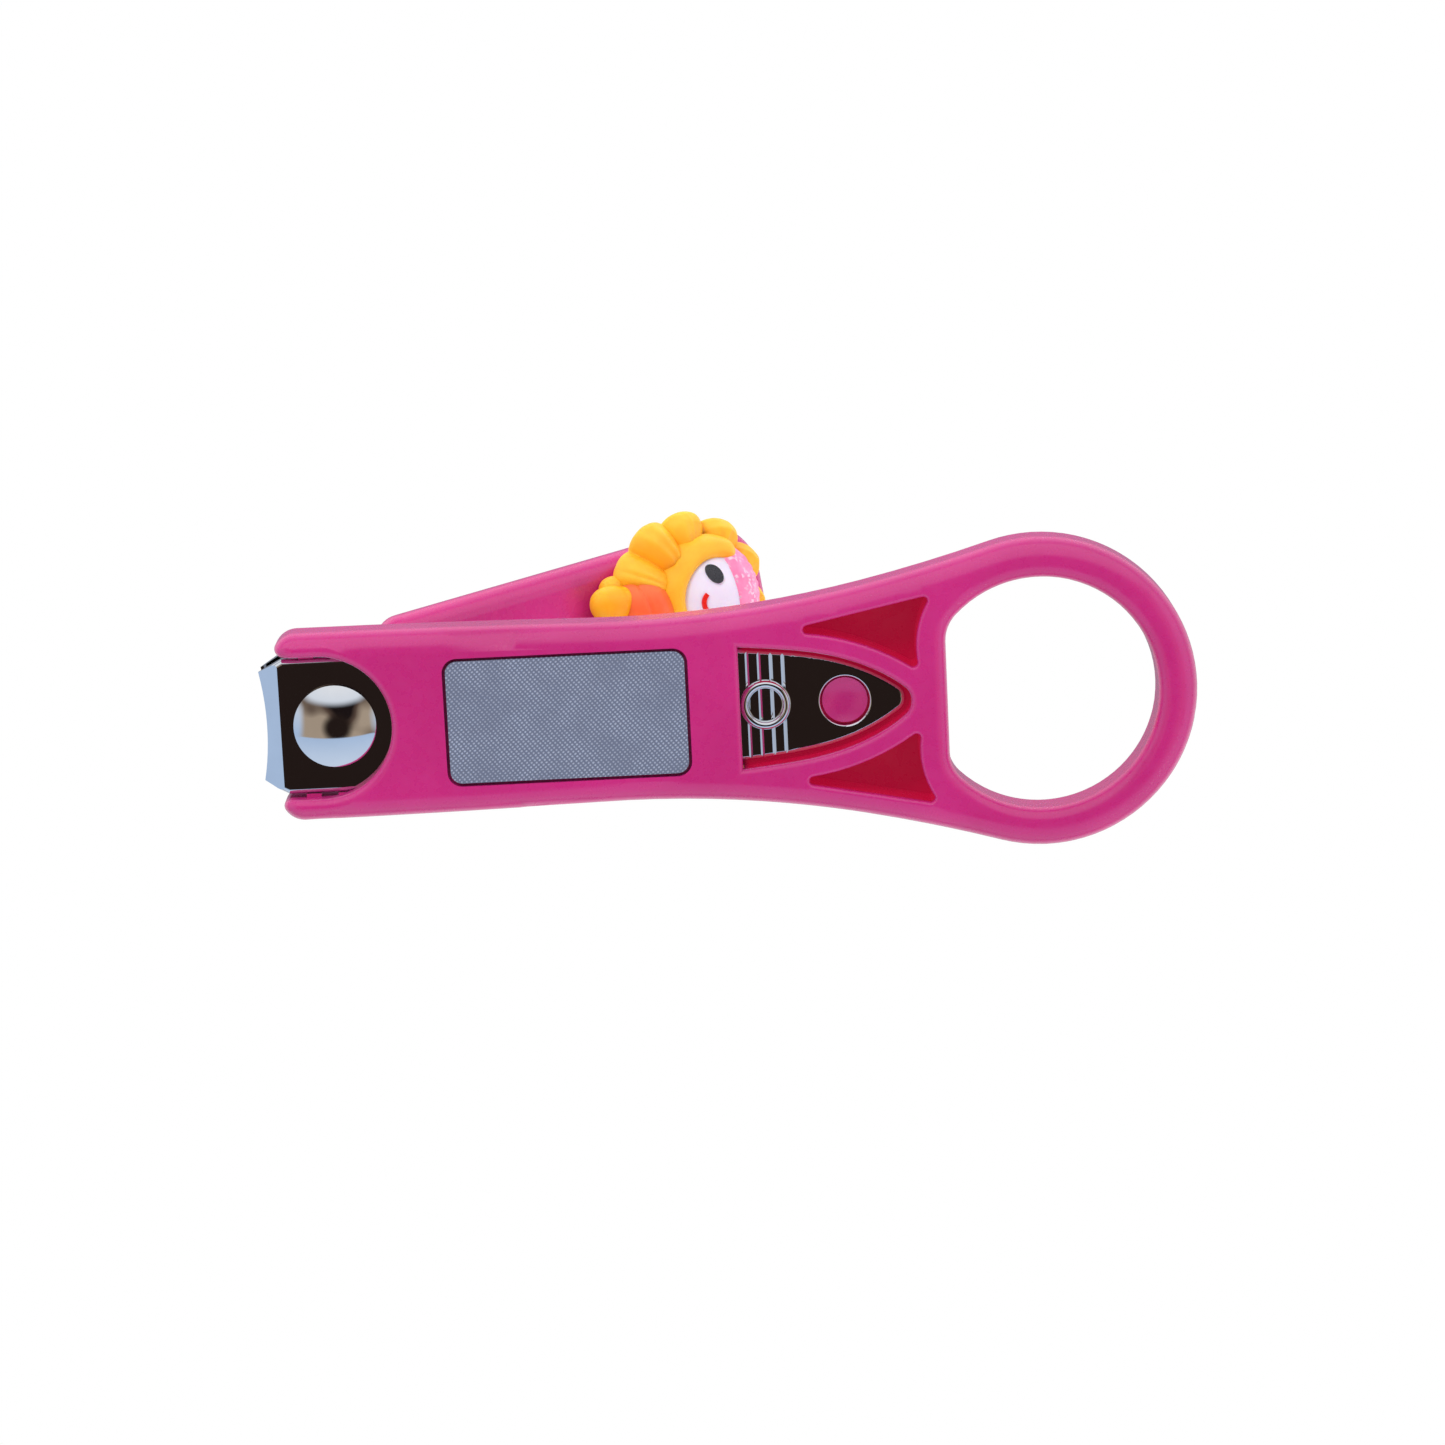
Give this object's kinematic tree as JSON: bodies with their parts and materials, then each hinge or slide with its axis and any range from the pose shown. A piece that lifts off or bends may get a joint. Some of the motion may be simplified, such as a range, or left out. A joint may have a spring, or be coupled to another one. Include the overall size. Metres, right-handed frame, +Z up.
{
  "type": "nail clipper",
  "caption": "Compound-lever nail clipper in a moulded handle with a finger ring, a nail file in its underside and a doll charm on its lever.",
  "frame": {"origin": "middle of the flat underside of the handle, on the plane that it rests on", "axes": "+X from the cutting edges to the finger ring, +Y across the handle, +Z up from the underside to the lever"},
  "size_m": [0.0884, 0.0294, 0.0396],
  "materials": {
    "handle_pink": "glossy magenta-pink moulding",
    "cover_pink": "glossy magenta-pink moulding",
    "leaf_chrome": "polished chrome plate",
    "rivet_chrome": "polished chrome plate",
    "post_chrome": "polished chrome plate",
    "lever_chrome": "polished chrome plate",
    "file_steel": "fine diagonal knurl",
    "pad": "foam adhesive pad",
    "doll_orange": "soft satin vinyl",
    "doll_yellow": "soft satin vinyl",
    "doll_white": "soft satin vinyl",
    "doll_pink": "soft vinyl with glitter",
    "doll_black": "printed gloss",
    "doll_red": "printed gloss"
  },
  "bodies": {
    "handle": {"handle_shell": "handle_pink", "file_plate": "file_steel", "file_pad": "pad", "lower_jaw": "leaf_chrome", "tail_rivet": "rivet_chrome"},
    "upper_leaf": {"upper_jaw": "leaf_chrome"},
    "post": {"post": "post_chrome"},
    "pin": {"cross_pin": "post_chrome"},
    "lever": {"lever_plate": "lever_chrome", "lever_cover": "cover_pink", "doll_pad": "pad", "doll_body": "doll_orange", "doll_mane": "doll_yellow", "doll_head": "doll_white", "doll_fringe": "doll_pink", "doll_eyes": "doll_black", "doll_smile": "doll_red", "doll_hands": "doll_yellow", "doll_feet": "doll_yellow"}
  },
  "joints": [
    {"name": "post_swivel", "type": "hinge", "parent": "handle", "child": "post", "pos_m": [-0.03715, 0, 0], "axis": [0, 0, 1], "continuous": true},
    {"name": "lever_flip", "type": "hinge", "parent": "post", "child": "pin", "pos_m": [-0.03715, 0, 0.01185], "axis": [-0.1392, -0.9903, 0], "range_deg": [0, 147]},
    {"name": "lever_press", "type": "hinge", "parent": "pin", "child": "lever", "pos_m": [-0.03715, 0, 0.01185], "axis": [0.1392, 0.9903, 0], "range_deg": [0, 16], "stiffness_Nm_per_rad": 0.37, "springref_deg": -2.86},
    {"name": "jaw_close", "type": "hinge", "parent": "handle", "child": "upper_leaf", "pos_m": [0.00345, 0, 0.00326], "axis": [0, -1, 0], "range_deg": [0, 2.88]}
  ],
  "couplings": [
    {"joint": "jaw_close", "follows": "lever_press", "ratio": 0.18}
  ]
}
